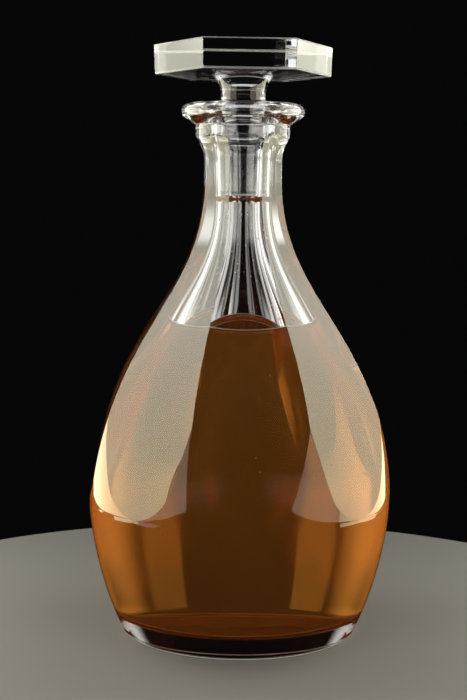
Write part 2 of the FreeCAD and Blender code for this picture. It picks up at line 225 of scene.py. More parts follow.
def round_the_axis_tree(finishes: Finishes) -> bpy.types.NodeTree:
    """Geometry Nodes that repeat one sector round the axis and set its finishes.

    Args:
        finishes: the material for each surface that the sector has.

    Returns:
        A tree with the inputs Sectors and Weld.
    """
    tree = bpy.data.node_groups.new("Round the axis", "GeometryNodeTree")
    tree.interface.new_socket("Geometry", in_out="INPUT", socket_type="NodeSocketGeometry")
    tree.interface.new_socket("Sectors", in_out="INPUT", socket_type="NodeSocketInt")
    tree.interface.new_socket("Weld", in_out="INPUT", socket_type="NodeSocketFloat")
    tree.interface.new_socket("Geometry", in_out="OUTPUT", socket_type="NodeSocketGeometry")
    nodes = NodeTree(tree)
    given = nodes.add("NodeGroupInput")
    turn = nodes.add("ShaderNodeMath", {0: 2 * math.pi, 1: given.outputs["Sectors"]}, operation="DIVIDE")
    index = nodes.add("GeometryNodeInputIndex")
    angle = nodes.add("ShaderNodeMath", {0: index.outputs[0], 1: turn.outputs[0]}, operation="MULTIPLY")
    spin = nodes.add("ShaderNodeCombineXYZ", {"Z": angle.outputs[0]})
    rotation = nodes.add("FunctionNodeEulerToRotation", {0: spin.outputs[0]})
    centres = nodes.add("GeometryNodePoints", {"Count": given.outputs["Sectors"]})
    copies = nodes.add("GeometryNodeInstanceOnPoints", {
        "Points": centres.outputs[0], "Instance": given.outputs["Geometry"],
        "Rotation": rotation.outputs[0]})
    real = nodes.add("GeometryNodeRealizeInstances", {0: copies.outputs[0]})
    weld = nodes.add("GeometryNodeMergeByDistance", {
        "Geometry": real.outputs[0], "Distance": given.outputs["Weld"]})
    last = nodes.add("GeometryNodeSetShadeSmooth", {"Geometry": weld.outputs[0], "Shade Smooth": True})
    kind = nodes.add("GeometryNodeInputNamedAttribute", {"Name": "surface"}, data_type="INT")
    for surface, material in finishes.items():
        chosen = nodes.add(
            "FunctionNodeCompare", {2: kind.outputs[0], 3: int(surface)},
            data_type="INT", operation="EQUAL")
        last = nodes.add("GeometryNodeSetMaterial", {
            "Geometry": last.outputs[0], "Selection": chosen.outputs[0], "Material": material})
    out = nodes.add("NodeGroupOutput")
    nodes.link(last.outputs[0], out.inputs[0])
    return tree


def run_nodes(name: str, mesh: bpy.types.Mesh, tree: bpy.types.NodeTree, values: Dict) -> bpy.types.Object:
    """Run a Geometry Nodes tree on a mesh and keep the plain result.

    Args:
        name: the finished piece's name.
        mesh: what the tree starts from.
        tree: the tree.
        values: its inputs by name.

    Returns:
        A new object at the origin with no modifier.
    """
    source = bpy.data.objects.new(name + "_source", mesh)
    bpy.context.scene.collection.objects.link(source)
    modifier = source.modifiers.new("Nodes", "NODES")
    modifier.node_group = tree
    for item in tree.interface.items_tree:
        if item.in_out == "INPUT" and item.name in values:
            modifier[item.identifier] = values[item.name]
    bpy.context.view_layer.update()
    graph = bpy.context.evaluated_depsgraph_get()
    result = bpy.data.meshes.new_from_object(source.evaluated_get(graph))
    bpy.data.objects.remove(source)
    result.name = name
    piece = bpy.data.objects.new(name, result)
    bpy.context.scene.collection.objects.link(piece)
    return piece


def keep_used_slots(mesh: bpy.types.Mesh) -> None:
    """Leave on a mesh only the material slots that its faces use.

    Args:
        mesh: a finished piece's mesh.
    """
    used = sorted({face.material_index for face in mesh.polygons})
    kept = [mesh.materials[index] for index in used]
    indices = np.zeros(len(mesh.polygons), np.int32)
    mesh.polygons.foreach_get("material_index", indices)
    mesh.materials.clear()
    for material in kept:
        mesh.materials.append(material)
    mesh.polygons.foreach_set("material_index", np.searchsorted(used, indices).astype(np.int32))
    mesh.update()


def turned_piece(name: str, rings: Sequence[Ring], sectors: int, finishes: Finishes) -> bpy.types.Object:
    """Make a whole piece from the rings of one sector, whose middle then faces -Y.

    Args:
        name: the finished piece's name.
        rings: the sector's levels, in order.
        sectors: how many sectors go round the axis.
        finishes: the material for each surface.

    Returns:
        The finished piece.
    """
    mesh = sector_mesh(name + "_sector", rings)
    mesh.transform(Matrix.Rotation(-math.pi / 2, 4, "Z"))
    piece = run_nodes(name, mesh, round_the_axis_tree(finishes), {"Sectors": sectors, "Weld": WELD_DISTANCE})
    keep_used_slots(piece.data)
    return piece


# Finishes


def relief_group(pattern: Pattern) -> bpy.types.NodeTree:
    """A shader group that puts out a height and a mask for a glass surface.

    Args:
        pattern: long shallow waves, as fire-polished glass has, or the rings and pits of grinding.

    Returns:
        The group, with the inputs Scale and Spread and the outputs Height and Mask.
    """
    fine_detail = 3.0
    smudge_start, smudge_full = 0.62, 0.70
    tree = bpy.data.node_groups.new("Glass " + pattern.label, "ShaderNodeTree")
    tree.interface.new_socket("Scale", in_out="INPUT", socket_type="NodeSocketFloat")
    tree.interface.new_socket("Spread", in_out="INPUT", socket_type="NodeSocketFloat")
    tree.interface.new_socket("Height", in_out="OUTPUT", socket_type="NodeSocketFloat")
    tree.interface.new_socket("Mask", in_out="OUTPUT", socket_type="NodeSocketFloat")
    nodes = NodeTree(tree)
    given = nodes.add("NodeGroupInput")
    where = nodes.add("ShaderNodeTexCoord")
    place = nodes.add("ShaderNodeMapping", {"Vector": where.outputs["Object"], "Scale": pattern.stretch})
    broad = nodes.add("ShaderNodeTexNoise", {
        "Vector": place.outputs[0], "Scale": given.outputs["Scale"], "Detail": pattern.detail})
    finer = nodes.add("ShaderNodeMath", {
        0: given.outputs["Scale"], 1: given.outputs["Spread"]}, operation="MULTIPLY")
    fine = nodes.add("ShaderNodeTexNoise", {
        "Vector": where.outputs["Object"], "Scale": finer.outputs[0], "Detail": fine_detail})
    mask = nodes.add("ShaderNodeMapRange", {
        "Value": fine.outputs[0], "From Min": smudge_start, "From Max": smudge_full})
    out = nodes.add("NodeGroupOutput")
    nodes.link(broad.outputs[0], out.inputs["Height"])
    nodes.link(mask.outputs[0], out.inputs["Mask"])
    return tree


@dataclass(frozen=True)
class Glass:
    """A glass finish: how clear, smooth and wavy it is.

    The scale is that of the broad waves, the spread is how much finer the smudges are, and the
    relief is in millimetres.
    """

    name: str
    tint: Colour = (1.0, 1.0, 1.0)
    ior: float = 1.52
    roughness: float = 0.0
    smudged: float = 0.0
    mirror: float = 1.0
    transmission: float = 1.0
    pattern: Pattern = Pattern.WAVES
    scale: float = 22.0
    spread: float = 6.0
    relief: float = 0.0

    def material(self, groups: Dict[Pattern, bpy.types.NodeTree]) -> bpy.types.Material:
        """The finish as a material.

        Args:
            groups: the relief groups.

        Returns:
            The material, on a Principled shader with patterned roughness and relief.
        """
        material = bpy.data.materials.new(self.name)
        material.use_nodes = True
        material.node_tree.nodes.clear()
        nodes = NodeTree(material.node_tree)
        relief = nodes.add(
            "ShaderNodeGroup", {"Scale": self.scale, "Spread": self.spread}, node_tree=groups[self.pattern])
        rough = nodes.add("ShaderNodeMapRange", {
            "Value": relief.outputs["Mask"], "To Min": self.roughness, "To Max": self.smudged})
        bump = nodes.add("ShaderNodeBump", {
            "Height": relief.outputs["Height"], "Strength": 1.0, "Distance": self.relief * MM})
        shader = nodes.add("ShaderNodeBsdfPrincipled", {
            "Base Color": (*self.tint, 1.0), "IOR": self.ior, "Roughness": rough.outputs[0],
            "Normal": bump.outputs[0], "Transmission Weight": self.transmission,
            "Specular Tint": (self.mirror, self.mirror, self.mirror, 1.0)})
        out = nodes.add("ShaderNodeOutputMaterial")
        nodes.link(shader.outputs[0], out.inputs["Surface"])
        return material


@dataclass(frozen=True)
class Liquid:
    """The drink: clear, with a colour that deepens with its depth."""

    name: str = "brown drink"
    ior: float = 1.355
    wall_mirror: float = 0.08
    haze: Colour = (0.88, 0.35, 0.06)
    clear: float = 0.80
    colour: Colour = (0.76, 0.52, 0.10)
    density: float = 5.0

    def material(self) -> bpy.types.Material:
        """The drink as a material with a plain absorption.

        Returns:
            The material.
        """
        material = bpy.data.materials.new(self.name)
        material.use_nodes = True
        material.node_tree.nodes.clear()
        nodes = NodeTree(material.node_tree)
        kind = nodes.add("ShaderNodeAttribute", attribute_name="surface")
        mirror = nodes.add("ShaderNodeMapRange", {
            "Value": kind.outputs["Fac"], "From Max": float(Surface.OPEN), "To Min": self.wall_mirror})
        shader = nodes.add("ShaderNodeBsdfPrincipled", {
            "Base Color": (*self.haze, 1.0), "IOR": self.ior, "Roughness": 0.0,
            "Transmission Weight": self.clear, "Specular Tint": mirror.outputs[0]})
        depth = nodes.add("ShaderNodeVolumeAbsorption", {
            "Color": (*self.colour, 1.0), "Density": self.density})
        out = nodes.add("ShaderNodeOutputMaterial")
        nodes.link(shader.outputs[0], out.inputs["Surface"])
        nodes.link(depth.outputs[0], out.inputs["Volume"])
        return material


POLISHED = Glass("polished glass", tint=(1.0, 1.0, 0.995), relief=0.05)
GROUND = Glass("ground glass", tint=(0.94, 0.94, 0.92), roughness=0.10, smudged=0.6,
               pattern=Pattern.GRINDING, scale=260.0, spread=9.0, relief=0.01)
DROP = Glass("drop", ior=1.6, roughness=0.3, smudged=0.3, transmission=0.5)
BUBBLE = Glass("air bubble", ior=2.0, roughness=0.2, smudged=0.2, transmission=0.4)
FACE_FINISHES = {
    Surface.POLISHED: POLISHED,
    Surface.WETTED: replace(POLISHED, name="glass behind the drink", mirror=0.04),
    Surface.GROUND: GROUND,
    Surface.SAWN: replace(GROUND, name="sawn glass", roughness=0.5, smudged=0.7, relief=0.05,
                          transmission=0.8),
    Surface.FILM: Glass("edge of the drink", tint=(1.0, 0.93, 0.80), roughness=0.5, smudged=0.5,
                        transmission=0.6),
    Surface.WORN: replace(GROUND, name="worn glass", tint=(1.0, 1.0, 0.97), roughness=0.45, relief=0.02,
                          transmission=0.05)}


# The vessel


@dataclass
class Hollow:
    """The inside of the vessel, which the drink and the stopper fit.

    The widths, pulls, leans and leads are shares. A pull says how far a curve's handle reaches
    towards its far end, a lean is a handle above a point, and a lead is how long the handle below
    that point is beside it.
    """

    drink_level: float = 128.0
    floor_radius: float = 41.0
    floor_height: float = 10.0
    floor_pull: float = 0.756
    corner_rise: float = 7.5
    corner_width: float = 0.489
    corner_lean: Tuple[float, float] = (0.48, 0.276)
    corner_lead: float = 0.542
    belly_radius: float = 58.6
    belly_height: float = 60.0
    belly_pull_below: float = 0.322
    belly_pull_above: float = 0.507
    throat_width: float = 0.336
    throat_height: float = 128.0
    throat_lean: Tuple[float, float] = (0.4235, 0.346)
    throat_lead: float = 1.222
    bore_radius: float = 8.0
    bore_foot: float = 180.0
    bore_pull: float = 0.423
    socket_foot: float = 185.5
    socket_radius: float = 8.36
    socket_top: float = 205.0
    socket_top_radius: float = 9.06
    mouth_waist: float = 10.3
    mouth_pulls: Tuple[float, float] = (0.169, 0.338)
    mouth_radius: float = 12.4
    mouth_round: float = 0.5
    lip_top: float = 225.7
    drop_inset: float = 0.1

    def lower_curves(self) -> List[np.ndarray]:
        """The floor's corner, the belly, the shoulder and the throat.

        Returns:
            Four curves of (radius, height) points from the floor up to the bore.
        """
        floor = np.array((self.floor_radius, self.floor_height))
        corner = np.array((between(self.floor_radius, self.belly_radius, self.corner_width),
                           self.floor_height + self.corner_rise))
        belly = np.array((self.belly_radius, self.belly_height))
        throat = np.array((between(self.bore_radius, self.belly_radius, self.throat_width),
                           self.throat_height))
        bore = np.array((self.bore_radius, self.bore_foot))
        corner_lean = (belly - corner) * self.corner_lean
        throat_lean = (bore - throat) * self.throat_lean
        return [
            bezier(floor, (between(floor[0], corner[0], self.floor_pull), floor[1]),
                   corner - corner_lean * self.corner_lead, corner, steps=10),
            bezier(corner, corner + corner_lean,
                   (belly[0], between(belly[1], corner[1], self.belly_pull_below)), belly, steps=18),
            bezier(belly, (belly[0], between(belly[1], throat[1], self.belly_pull_above)),
                   throat - throat_lean * self.throat_lead, throat, steps=30),
            bezier(throat, throat + throat_lean,
                   (bore[0], between(bore[1], throat[1], self.bore_pull)), bore, steps=22)]

    def neck_band(self) -> np.ndarray:
        """The band that drops hang on inside the neck: the throat's curve, from just above the drink."""
        return self.lower_curves()[3][2:] - np.array((self.drop_inset, 0.0))

    def upper_curves(self) -> List[Tuple[np.ndarray, Surface]]:
        """The bore, the ground socket and the mouth.

        Returns:
            Each one's (radius, height) points, from below, and its finish.
        """
        rise = self.lip_top - self.socket_top
        bore = straight((self.bore_radius, self.bore_foot), (self.bore_radius, self.socket_foot), steps=3)
        socket = straight((self.socket_radius, self.socket_foot),
                          (self.socket_top_radius, self.socket_top), steps=12)
        mouth = bezier((self.socket_top_radius, self.socket_top),
                       (self.mouth_waist, self.socket_top + rise * self.mouth_pulls[0]),
                       (self.mouth_waist, self.lip_top - rise * self.mouth_pulls[1]),
                       (self.mouth_radius, self.lip_top - self.mouth_round), steps=14)
        return [(bore, Surface.POLISHED), (socket, Surface.GROUND), (mouth, Surface.POLISHED)]


@dataclass
class Vessel:
    """The glass vessel: a turned blank with eight flutes cut up its shoulder and neck.

    The pulls, leans and leads set the curves' handles, as they do for the hollow.
    """

    hollow: Hollow
    film_top: float = 129.9
    film_width: float = 0.45
    worn_steps: int = 7
    flutes: int = 8
    base_radius: float = 49.8
    base_pull: Tuple[float, float] = (0.5, 0.22)
    heel_radius: float = 1.8
    heel_rise: float = 1.2
    heel_pull: float = 0.62
    heel_inset: float = 0.25
    heel_lift: float = 0.45
    belly_radius: float = 65.0
    belly_height: float = 60.0
    belly_pull_below: float = 0.3333
    belly_pull_above: float = 0.5205
    collar_radius: float = 20.0
    collar_foot: float = 206.0
    collar_top: float = 217.0
    collar_pull: float = 0.411
    collar_round: Tuple[float, float] = (0.15, 0.08)
    lip_radius: float = 26.2
    lip_edge_radius: float = 3.1
    seam: float = 0.4
    flute_depth: float = 2.3
    flute_start: Tuple[float, float] = (66.3, 52.4)
    flute_start_rise: float = 4.5
    flute_waist_height: float = 68.0
    flute_lean: Tuple[float, float] = (0.2114, 0.5354)
    flute_lead: float = 0.0515
    neck_radius: float = 16.05
    neck_foot: float = 195.0
    neck_pull: float = 0.4016
    flute_end_foot: float = 202.0
    flute_end_radius: float = 16.0
    arris: float = 0.35
    arris_blend: float = 0.05
    arris_columns: Tuple[float, ...] = (-0.5, -0.15, 0.15, 0.5)
    flute_columns: int = 7
    body_columns: int = 6

    def __post_init__(self) -> None:
        """Draw the blank's side and the flute's bottom once, densely, to read radii from."""
        self.side = self.blank_side()
        self.cut = self.flute_bottom()
        self.half_sector = math.pi / self.flutes

    def blank_side(self) -> np.ndarray:
        """The uncut blank's outline, from the foot up to the top of the collar.

        Returns:
            The (radius, height) points.
        """
        belly = (self.belly_radius, self.belly_height)
        collar = (self.collar_radius, self.collar_foot)
        rise = self.collar_foot - self.belly_height
        lower = bezier(
            (self.base_radius, 0.0),
            (between(self.base_radius, belly[0], self.base_pull[0]), belly[1] * self.base_pull[1]),
            (belly[0], between(belly[1], 0.0, self.belly_pull_below)), belly, steps=400)
        upper = bezier(
            belly, (belly[0], belly[1] + rise * self.belly_pull_above),
            (collar[0], collar[1] - rise * self.collar_pull), collar, steps=800)
        ring = straight(collar, (self.collar_radius, self.collar_top), steps=4)
        return np.concatenate((lower, upper[1:], ring[1:]))

    def flute_bottom(self) -> np.ndarray:
        """The line along the middle of a flute, which runs out in an arc at its top.

        Returns:
            The (distance from the axis, height) points.
        """
        waist = np.array((self.belly_radius - self.flute_depth, self.flute_waist_height))
        neck = np.array((self.neck_radius, self.neck_foot))
        lean = (neck - waist) * self.flute_lean
        run_out = bezier(
            self.flute_start, (self.belly_radius, self.flute_start[1] + self.flute_start_rise),
            waist - lean * self.flute_lead, waist, steps=200)
        cut = bezier(
            waist, waist + lean, (neck[0], between(neck[1], waist[1], self.neck_pull)), neck, steps=800)
        turn = math.degrees(math.asin((self.collar_top - self.flute_end_foot) / self.flute_end_radius))
        wheel = arc((self.neck_radius + self.flute_end_radius, self.flute_end_foot),
                    self.flute_end_radius, 180.0, 180.0 - turn, steps=60)
        return np.concatenate((run_out, cut[1:], wheel))

    def blank_radius(self, height: float) -> float:
        """The uncut blank's radius at a height."""
        return float(np.interp(height, self.side[:, 1], self.side[:, 0]))

    def flute_distance(self, height: float) -> float:
        """A flute's distance from the axis.

        Args:
            height: where it is measured.

        Returns:
            The distance, or infinity below the flute's start.
        """
        if height < self.flute_start[1]:
            return math.inf
        return float(np.interp(height, self.cut[:, 1], self.cut[:, 0]))

    def flute_half_angle(self, height: float) -> float:
        """Half the angle that a flute takes up at a height."""
        share = self.flute_distance(height) / self.blank_radius(height)
        return min(math.acos(min(share, 1.0)), self.half_sector)

    def column_angles(self, half_angle: float, height: float) -> np.ndarray:
        """Columns of one sector, close together at the flute's edges.

        Args:
            half_angle: half the flute's angle.
            height: where the ring is.

        Returns:
            The angles, from one side of the sector to the other.
        """
        limit = self.half_sector
        edge = self.arris / self.blank_radius(min(height, self.collar_top))
        inner = np.linspace(0.0, max(half_angle - edge, 0.0), self.flute_columns + 1)
        outer = np.linspace(min(half_angle + edge, limit), limit, self.body_columns + 1)
        near = half_angle + edge * np.array(self.arris_columns)
        half = np.clip(np.concatenate((inner, near, outer)), 0.0, limit)
        return np.concatenate((-half[:0:-1], half))

    def turned_angles(self, height: float) -> np.ndarray:
        """Columns of a ring that has no flute."""
        return self.column_angles(self.half_sector / 2, height)

    def side_ring(self, height: float) -> Ring:
        """The outside of one sector, with its flute.

        Args:
            height: where the ring is.

        Returns:
            The ring.
        """
        half_angle = self.flute_half_angle(height)
        angles = self.column_angles(half_angle, height) if half_angle > 0.0 else self.turned_angles(height)
        blank = np.full(len(angles), self.blank_radius(height))
        distance = self.flute_distance(height)
        if math.isinf(distance):
            return Ring(height, blank, angles)
        this = distance / np.cos(angles)
        neighbour = distance / np.cos(2 * self.half_sector - np.abs(angles))
        radii = soft_min(soft_min(this, neighbour, self.arris_blend), blank, self.arris_blend)
        return Ring(height, radii, angles)

    def side_heights(self) -> np.ndarray:
        """The heights of the outside's rings, closer where a flute starts and ends.

        Returns:
            The heights, from the heel up to the top of the collar.
        """
        heights = np.linspace(self.heel_radius, self.hollow.lip_top, 40000)[::20]
        angles = np.array([self.flute_half_angle(height) if height < self.collar_top else 0.0
                           for height in heights])
        cut = heights[angles > 0.0]
        full = heights[angles >= self.half_sector]
        start, end = cut[0], cut[-1]
        whole, parted = full[0], full[-1]
        opening = np.linspace(0.0, 1.0, 27) ** 2
        closing = (1 - np.linspace(0.0, 1.0, 12)) ** 1.5
        return np.concatenate((
            np.linspace(self.heel_top(), start - self.seam, 42),
            start + (whole - start) * opening,
            np.linspace(whole, parted, 66)[1:-1],
            end - (end - parted) * closing,
            np.linspace(end + self.seam / 2, self.collar_top, 5)))

    def heel_top(self) -> float:
        """The height where the rounded heel has turned into the side."""
        return self.heel_radius * self.heel_rise

    def foot_rings(self) -> List[Ring]:
        """The flat foot and its rounded edge, which is worn where it touches the table.

        Returns:
            The rings, from the middle of the foot outwards.
        """
        top = self.heel_top()
        outer = self.blank_radius(top)
        flat = self.base_radius - self.heel_radius
        angles = self.turned_angles(top)
        underside = straight((0.0, 0.0), (flat - self.seam, 0.0), steps=12)
        heel = bezier((flat, 0.0), (between(flat, outer, self.heel_pull), 0.0),
                      (outer - self.heel_inset, top * self.heel_lift), (outer, top), steps=10)[:-1]
        return (turned_rings(underside, angles, Surface.POLISHED)
                + turned_rings(heel[:self.worn_steps], angles, Surface.WORN)
                + turned_rings(heel[self.worn_steps:], angles, Surface.POLISHED))

    def lip_rings(self) -> List[Ring]:
        """The lip: its sloping underside, its round edge, its flat top and the mouth's rounded rim.

        Returns:
            The rings, from the collar outwards and over to the mouth.
        """
        lip_top, rim_round = self.hollow.lip_top, self.hollow.mouth_round
        rim = self.hollow.mouth_radius + rim_round
        centre = (self.lip_radius - self.lip_edge_radius, lip_top - self.lip_edge_radius)
        across = centre[0] - self.collar_radius
        rise = centre[1] - self.collar_top
        slope = math.atan2(rise, across) - math.asin(self.lip_edge_radius / math.hypot(across, rise))
        edge = arc(centre, self.lip_edge_radius, math.degrees(slope) - 90.0, 90.0, steps=22)
        foot = (self.collar_radius + self.collar_round[0], self.collar_top + self.collar_round[1])
        under = straight(foot, edge[0], steps=6)
        top = straight((centre[0] - self.seam, lip_top), (rim + self.seam, lip_top), steps=5)
        mouth = arc((rim, lip_top - rim_round), rim_round, 90.0, 180.0, steps=4)
        return turned_rings(np.concatenate((under[:-1], edge, top, mouth)),
                            self.turned_angles(self.collar_top), Surface.POLISHED)

    def inside_rings(self) -> List[Ring]:
        """The mouth, the ground socket, the bore and the hollow down to the floor's middle.

        Returns:
            The rings, from the mouth down.
        """
        hollow = self.hollow
        angles = self.turned_angles(self.collar_top)
        rings: List[Ring] = []
        for points, surface in reversed(hollow.upper_curves()):
            rings += turned_rings(points[::-1], angles, surface)
        for points in reversed(hollow.lower_curves()):
            for radius, height in self.with_film(points)[::-1][1:]:
                surface = self.inside_surface(radius, height)
                rings.append(Ring(height, np.full(len(angles), radius), angles, surface))
        floor = straight((hollow.floor_radius, hollow.floor_height), (0.0, hollow.floor_height), steps=10)
        return rings + turned_rings(floor[1:], angles, Surface.WETTED)

    def inside_surface(self, radius: float, height: float) -> Surface:
        """The finish below a ring of the hollow.

        Args:
            radius: the ring's radius.
            height: the ring's height.

        Returns:
            Wetted glass behind the drink, a film at its edge and round the floor, or polished glass.
        """
        if math.isclose(radius, self.hollow.floor_radius) or math.isclose(height, self.film_top):
            return Surface.FILM
        return Surface.WETTED if height <= self.hollow.drink_level else Surface.POLISHED

    def with_film(self, points: np.ndarray) -> np.ndarray:
        """Add rings to a curve of the inside, where the drink's thin edge clings to the glass.

        Args:
            points: the curve's (radius, height) points, from below.

        Returns:
            The points, with the film's two edges among them where the curve passes them.
        """
        film = [height for height in (self.film_top - self.film_width, self.film_top)
                if points[0, 1] < height < points[-1, 1]]
        radii = np.interp(film, points[:, 1], points[:, 0])
        both = np.concatenate((points, np.column_stack((radii, film))))
        return both[np.argsort(both[:, 1], kind="stable")] if film else points

    def build(self, finishes: Finishes) -> bpy.types.Object:
        """Make the vessel from one sector.

        Args:
            finishes: the material for each surface.

        Returns:
            The finished piece.
        """
        rings = self.foot_rings() + [self.side_ring(height) for height in self.side_heights()]
        return turned_piece("decanter_glass", rings + self.lip_rings() + self.inside_rings(),
                            self.flutes, finishes)


# The stopper


@dataclass
class Stopper:
    """The stopper: a ground plug, a clear stem, and a flat six-sided head.

    The plug's bevel runs between two points, each given as the shares of the bevel that it lies in
    from the plug's side and up from its end.
    """

    sides: int = 6
    plug_foot: float = 187.0
    plug_bevel: float = 0.8
    bevel_start: Tuple[float, float] = (0.8, 0.15)
    bevel_end: Tuple[float, float] = (0.15, 0.85)
    plug_radius: float = 8.3
    plug_top: float = 205.0
    plug_top_radius: float = 9.0
    seat_gap: float = 0.1
    stem_foot: float = 222.0
    stem_radius: float = 9.4
    stem_top: float = 229.5
    stem_seam: float = 0.4
    ring_depth: float = 0.06
    ring_pitch: float = 2.4
    flare_radius: float = 12.8
    flare_pull: float = 0.407
    flare_reach: float = 1.9
    flare_gap: float = 0.01
    head_foot: float = 237.6
    head_thickness: float = 12.4
    head_corner_radius: float = 37.3
    head_draft: float = 2.0
    edge_round: float = 0.55
    edge_gap: float = 0.25
    flat_shares: Tuple[float, ...] = (0.25, 0.5, 0.75, 0.97, 0.99)
    underside_start: float = 0.02
    side_shares: Tuple[float, ...] = (0.35, 0.65)
    corner_blend: float = 0.12
    corner_reach: float = 0.05
    corner_columns: Tuple[float, ...] = (0.028, 0.012, 0.006, 0.0025, 0.0)
    columns: int = 9

    def angles(self) -> np.ndarray:
        """One sector's columns, close together at the corners.

        Returns:
            The angles, from corner to corner.
        """
        limit = math.pi / self.sides
        near = limit - np.array(self.corner_columns)
        half = np.concatenate((np.linspace(0.0, limit - self.corner_reach, self.columns), near))
        return np.concatenate((-half[:0:-1], half))

    def side_radii(self, apothem: float) -> np.ndarray:
        """The head's radius at each column, with its upright corners rounded.

        Args:
            apothem: the distance from the axis to the middle of a side.

        Returns:
            The radii.
        """
        limit = math.pi / self.sides
        angles = self.angles()
        this = apothem / np.cos(angles)
        neighbour = apothem / np.cos(2 * limit - np.abs(angles))
        return soft_min(this, neighbour, self.corner_blend)

    def head_rings(self) -> List[Ring]:
        """The head: its flat underside, its leaning sides and its flat top, with rounded edges.

        Returns:
            The rings, from the flare round to the middle of the top.
        """
        angles = self.angles()
        foot = self.head_foot
        top = foot + self.head_thickness
        apothem = self.head_corner_radius * math.cos(math.pi / self.sides)
        lean = math.tan(math.radians(self.head_draft))
        bevel = self.edge_round
        rim = self.side_radii(apothem - bevel)
        rings = [Ring(foot, between(self.flare_radius, rim, share), angles)
                 for share in (self.underside_start, *self.flat_shares)]
        lower = arc((-bevel, foot + bevel), bevel, -90.0, 0.0, steps=5)
        upper = arc((-bevel, top - bevel), bevel, 0.0, 90.0, steps=5)
        levels = (foot + bevel + self.edge_gap, *(between(foot, top, share) for share in self.side_shares),
                  top - bevel - self.edge_gap)
        sides = [(0.0, height) for height in levels]
        for course, surface in ((lower, Surface.SAWN), (sides, Surface.POLISHED), (upper, Surface.SAWN)):
            for inset, height in course:
                radii = self.side_radii(apothem + inset + (height - foot) * lean)
                rings.append(Ring(height, radii, angles, surface))
        edge = self.side_radii(apothem - bevel + self.head_thickness * lean)
        return rings + [Ring(top, edge * share, angles) for share in (*self.flat_shares[::-1], 0.0)]

    def stem_rings(self) -> List[Ring]:
        """The plug, ground where it seats, the clear stem, and the flare under the head.

        Returns:
            The rings, from the middle of the plug's end up to the head.
        """
        foot, bevel, angles = self.plug_foot, self.plug_bevel, self.angles()
        end = straight((0.0, foot), (self.plug_radius - bevel, foot), steps=6)
        slope = straight(
            *((self.plug_radius - bevel * inward, foot + bevel * upward)
              for inward, upward in (self.bevel_start, self.bevel_end)), steps=3)
        plug = straight((self.plug_radius, foot + bevel), (self.plug_top_radius, self.plug_top), steps=12)
        shank = straight((self.plug_top_radius, self.plug_top + self.seat_gap),
                         (self.stem_radius, self.stem_foot), steps=8)
        flare = bezier((self.stem_radius, self.stem_top),
                       (self.stem_radius, between(self.stem_top, self.head_foot, self.flare_pull)),
                       (self.flare_radius - self.flare_reach, self.head_foot - self.flare_reach),
                       (self.flare_radius, self.head_foot - self.flare_gap), steps=16)
        clear = np.concatenate((shank, self.stem_curve(), flare))
        return (turned_rings(np.concatenate((end, slope)), angles, Surface.WORN)
                + turned_rings(plug, angles, Surface.GROUND)
                + turned_rings(clear, angles, Surface.POLISHED))

    def stem_curve(self) -> np.ndarray:
        """The clear stem above the lip, with the faint rings that turning left on it.

        Returns:
            The (radius, height) points.
        """
        points = straight((self.stem_radius, self.stem_foot + self.stem_seam),
                          (self.stem_radius, self.stem_top - self.stem_seam), steps=22)
        turns = (points[:, 1] - self.stem_foot) / self.ring_pitch
        points[:, 0] += self.ring_depth * np.sin(2 * math.pi * turns)
        return points

    def build(self, finishes: Finishes) -> bpy.types.Object:
        """Make the stopper from one sector."""
        return turned_piece("stopper_glass", self.stem_rings() + self.head_rings(), self.sides, finishes)


# The drink


@dataclass
class Drink:
    """The drink: it fills the hollow to its level and climbs the glass a little at its edge."""

    hollow: Hollow
    into_wall: float = 0.25
    climb: float = 1.6
    climb_width: float = 0.8
    edge_gap: float = 0.3
    surface_steps: int = 39
    surface_ease: float = 2.2
    bubbles_foot: float = 45.0
    bubbles_depth: float = 1.0
    bubbles_inset: float = 0.9
    sectors: int = 8
    columns: int = 22

    def wall(self) -> np.ndarray:
        """The side of the drink, which reaches just into the glass.

        Returns:
            The (radius, height) points, from the floor up to the drink's edge.
        """
        curves = self.hollow.lower_curves()
        points = np.concatenate([curves[0]] + [curve[1:] for curve in curves[1:]])
        slopes = np.gradient(points, axis=0)
        slopes /= np.linalg.norm(slopes, axis=1)[:, None]
        points = points + self.into_wall * np.column_stack((slopes[:, 1], -slopes[:, 0]))
        edge = self.hollow.drink_level + self.climb
        below = points[points[:, 1] < edge - self.edge_gap]
        radius = float(np.interp(edge, points[:, 1], points[:, 0]))
        return np.concatenate((below, [(radius, edge)]))

    def bubble_band(self) -> np.ndarray:
        """Where bubbles hang in the drink: just inside the wall.

        Returns:
            The (radius, height) points, from the belly up to just below the surface.
        """
        points = self.wall()
        inside = ((points[:, 1] > self.bubbles_foot)
                  & (points[:, 1] < self.hollow.drink_level - self.bubbles_depth))
        return points[inside] - np.array((self.bubbles_inset, 0.0))

    def surface(self, edge_radius: float) -> np.ndarray:
        """The top of the drink, from its edge to the middle.

        Args:
            edge_radius: the radius where the drink meets the glass.

        Returns:
            The (radius, height) points.
        """
        inward = edge_radius * np.linspace(0.0, 1.0, self.surface_steps + 1)[1:] ** self.surface_ease
        radii = edge_radius - inward
        heights = self.hollow.drink_level + self.climb * np.exp(-(edge_radius - radii) / self.climb_width)
        return np.column_stack((radii, heights))

    def build(self, finish: bpy.types.Material) -> bpy.types.Object:
        """Make the drink from one sector.

        Args:
            finish: its material.

        Returns:
            The finished piece.
        """
        wall = self.wall()
        floor = straight((0.0, wall[0, 1]), wall[0], steps=8)[:-1]
        top = np.concatenate((wall[-1:], self.surface(wall[-1, 0])))
        half = math.pi / self.sectors
        angles = np.linspace(-half, half, self.columns + 1)
        rings = turned_rings(np.concatenate((floor, wall[:-1])), angles, Surface.POLISHED)
        rings += turned_rings(top, angles, Surface.OPEN)
        return turned_piece("drink_body", rings, self.sectors,
                            {Surface.POLISHED: finish, Surface.OPEN: finish})


# Drops and bubbles


